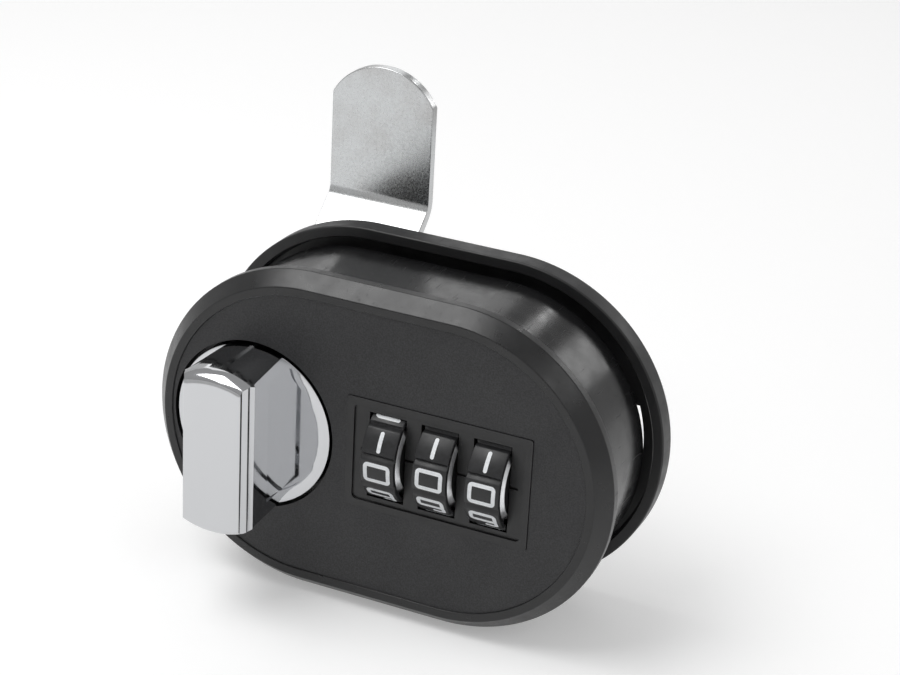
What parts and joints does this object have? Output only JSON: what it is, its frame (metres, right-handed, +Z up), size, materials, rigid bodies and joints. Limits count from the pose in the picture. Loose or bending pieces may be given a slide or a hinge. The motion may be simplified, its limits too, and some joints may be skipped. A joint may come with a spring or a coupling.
{
  "type": "combination cam lock",
  "caption": "Long round-ended combination lock for a cabinet door, with a chrome grip knob, number wheels and a cranked steel cam.",
  "frame": {"origin": "middle of the box round the lock at rest, at its underside, where the two flanges stand", "axes": "+X along the front plate to the right seen from the front, +Y back through the door, +Z up towards the cam's tip"},
  "size_m": [0.067, 0.0464, 0.0632],
  "materials": {
    "housing_paint": "satin black, fine grain on the face",
    "ring_paint": "gloss black",
    "cover_plastic": "satin black",
    "lid_plastic": "matt black moulding",
    "wheel_plastic": "satin black with pale digits",
    "setter_plastic": "gloss black",
    "knob_chrome": "bright chrome over zinc casting",
    "plated_steel": "zinc plated",
    "spring_steel": "bright spring steel",
    "brass": "machined"
  },
  "bodies": {
    "housing": {"front_housing": "housing_paint", "dial_cover": "cover_plastic", "back_cover": "lid_plastic", "rear_ring": "ring_paint", "detent_spring": "spring_steel", "bar_spring": "spring_steel", "cover_screw_1": "plated_steel", "cover_screw_2": "plated_steel", "cover_screw_3": "plated_steel", "cover_screw_4": "plated_steel", "clamp_screw_1": "plated_steel", "clamp_screw_2": "plated_steel", "clamp_screw_3": "plated_steel", "clamp_screw_4": "plated_steel"},
    "knob": {"knob": "knob_chrome", "lift_cam": "brass", "spindle_clip": "spring_steel", "cam": "plated_steel", "cam_washer": "spring_steel", "cam_screw": "plated_steel"},
    "lock_bar": {"lock_bar": "plated_steel"},
    "code_shaft": {"code_shaft": "spring_steel"},
    "code_setter": {"code_setter": "setter_plastic"},
    "dial_1": {"number_wheel_1": "wheel_plastic", "wheel_disc_1": "plated_steel"},
    "hub_1": {"code_ring_1": "brass"},
    "dial_2": {"number_wheel_2": "wheel_plastic", "wheel_disc_2": "plated_steel"},
    "hub_2": {"code_ring_2": "brass"},
    "dial_3": {"number_wheel_3": "wheel_plastic", "wheel_disc_3": "plated_steel"},
    "hub_3": {"code_ring_3": "brass"}
  },
  "joints": [
    {"name": "knob_turn", "type": "hinge", "parent": "housing", "child": "knob", "pos_m": [-0.0177, -0.01345, 0.02325], "axis": [0, -1, 0], "range_deg": [-90, 0]},
    {"name": "dial_1_turn", "type": "hinge", "parent": "housing", "child": "dial_1", "pos_m": [0.00205, -0.00955, 0.02325], "axis": [1, 0, 0], "continuous": true},
    {"name": "dial_2_turn", "type": "hinge", "parent": "housing", "child": "dial_2", "pos_m": [0.00945, -0.00955, 0.02325], "axis": [1, 0, 0], "continuous": true},
    {"name": "dial_3_turn", "type": "hinge", "parent": "housing", "child": "dial_3", "pos_m": [0.01685, -0.00955, 0.02325], "axis": [1, 0, 0], "continuous": true},
    {"name": "setter_turn", "type": "hinge", "parent": "housing", "child": "code_setter", "pos_m": [0.0257, -0.01345, 0.02325], "axis": [0, -1, 0], "range_deg": [0, 90]},
    {"name": "lock_bar_slide", "type": "slide", "parent": "housing", "child": "lock_bar", "axis": [1, 0, 0], "range_m": [0, 0.0011], "deforming": ["bar_spring"]},
    {"name": "code_shaft_slide", "type": "slide", "parent": "housing", "child": "code_shaft", "axis": [1, 0, 0], "range_m": [0, 0.0011]},
    {"name": "hub_1_slide", "type": "slide", "parent": "dial_1", "child": "hub_1", "axis": [1, 0, 0], "range_m": [0, 0.0011]},
    {"name": "hub_2_slide", "type": "slide", "parent": "dial_2", "child": "hub_2", "axis": [1, 0, 0], "range_m": [0, 0.0011]},
    {"name": "hub_3_slide", "type": "slide", "parent": "dial_3", "child": "hub_3", "axis": [1, 0, 0], "range_m": [0, 0.0011]}
  ],
  "couplings": [
    {"joint": "lock_bar_slide", "follows": "knob_turn", "m_per_rad": -0.0007},
    {"joint": "setter_turn", "follows": "code_shaft_slide", "rad_per_m": 1427.9},
    {"joint": "hub_1_slide", "follows": "code_shaft_slide", "ratio": 1},
    {"joint": "hub_2_slide", "follows": "code_shaft_slide", "ratio": 1},
    {"joint": "hub_3_slide", "follows": "code_shaft_slide", "ratio": 1}
  ]
}
